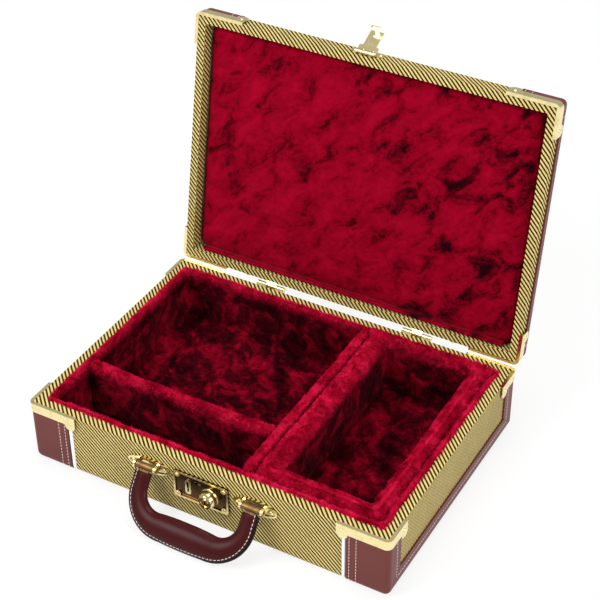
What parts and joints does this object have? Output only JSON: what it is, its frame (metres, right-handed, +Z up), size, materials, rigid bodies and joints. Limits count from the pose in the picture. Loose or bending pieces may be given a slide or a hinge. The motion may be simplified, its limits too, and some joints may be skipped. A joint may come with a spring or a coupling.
{
  "type": "harmonica case",
  "caption": "Hard case with hinged lid, key lock with sliding knob and hasp, drop handle, brass corners and plush lined compartments.",
  "frame": {"origin": "middle of the underside of the base, on the plane that the case rests on", "axes": "+X along the front to the right, +Y from the front to the hinges, +Z up"},
  "size_m": [0.3362, 0.3406, 0.3077],
  "materials": {
    "tweed": "woven cloth in straw yellow with dark brown diagonal stripes, satin",
    "vinyl": "smooth red brown vinyl with white stitches, semi gloss",
    "handle_leather": "smooth dark red brown leather, stitched, semi gloss",
    "piping": "white, semi gloss",
    "plush": "deep pile plush, crimson",
    "brass": "bright polished plating",
    "steel": "zinc plated sheet steel",
    "black_enamel": "black, glossy",
    "wood": "plain plywood"
  },
  "bodies": {
    "base": {"base_corner_back_left": "brass", "base_corner_back_right": "brass", "base_corner_front_left": "brass", "base_corner_front_right": "brass", "base_corner_screws": "brass", "base_end_band_left": "vinyl", "base_end_band_right": "vinyl", "base_feet": "brass", "base_lining": "plush", "base_piping_left": "piping", "base_piping_right": "piping", "base_tray": "wood", "base_tweed_cover": "tweed", "bracket_rivets": "brass", "cross_divider": "plush", "handle_bracket_left": "brass", "handle_bracket_right": "brass", "handle_pin_left": "brass", "handle_pin_right": "brass", "hinge_base_leaf_left": "brass", "hinge_base_leaf_right": "brass", "hinge_base_rivets": "brass", "hinge_pin_left": "brass", "hinge_pin_right": "brass", "insert_pad_frame": "plush", "key_cam": "steel", "keyhole_ring": "brass", "lock_case": "steel", "lock_plate": "brass", "lock_rivets": "brass", "lock_spring": "steel", "long_divider": "plush"},
    "lid": {"lid_corner_back_left": "brass", "lid_corner_back_right": "brass", "lid_corner_front_left": "brass", "lid_corner_front_right": "brass", "lid_corner_screws": "brass", "lid_end_band_left": "vinyl", "lid_end_band_right": "vinyl", "lid_feet": "brass", "lid_piping_left": "piping", "lid_piping_right": "piping", "lid_plush_panel": "plush", "lid_tray": "wood", "lid_tweed_cover": "tweed", "hinge_lid_leaf_left": "brass", "hinge_lid_leaf_right": "brass", "hinge_lid_rivets": "brass", "hasp_base": "brass", "hasp_pin": "brass", "hasp_rivets": "brass"},
    "hasp": {"hasp_tongue": "brass"},
    "handle": {"handle_core": "brass", "handle_cover": "handle_leather"},
    "lock_slide": {"lock_knob": "brass", "knob_inlay": "black_enamel", "lock_bolt": "steel"}
  },
  "joints": [
    {"name": "lid_hinge", "type": "hinge", "parent": "base", "child": "lid", "pos_m": [0, 0.1185, 0.0606], "axis": [1, 0, 0], "range_deg": [0, 100.3]},
    {"name": "hasp_hinge", "type": "hinge", "parent": "lid", "child": "hasp", "pos_m": [-0.0056, 0.16426, 0.29225], "axis": [1, 0, 0], "range_deg": [0, 145]},
    {"name": "handle_swing", "type": "hinge", "parent": "base", "child": "handle", "pos_m": [0, -0.1208, 0.0443], "axis": [-1, 0, 0], "range_deg": [-25, 105]},
    {"name": "knob_slide", "type": "slide", "parent": "base", "child": "lock_slide", "axis": [1, 0, 0], "range_m": [0, 0.0035], "stiffness_N_per_m": 400, "springref_m": -0.003, "deforming": ["lock_spring"]}
  ]
}
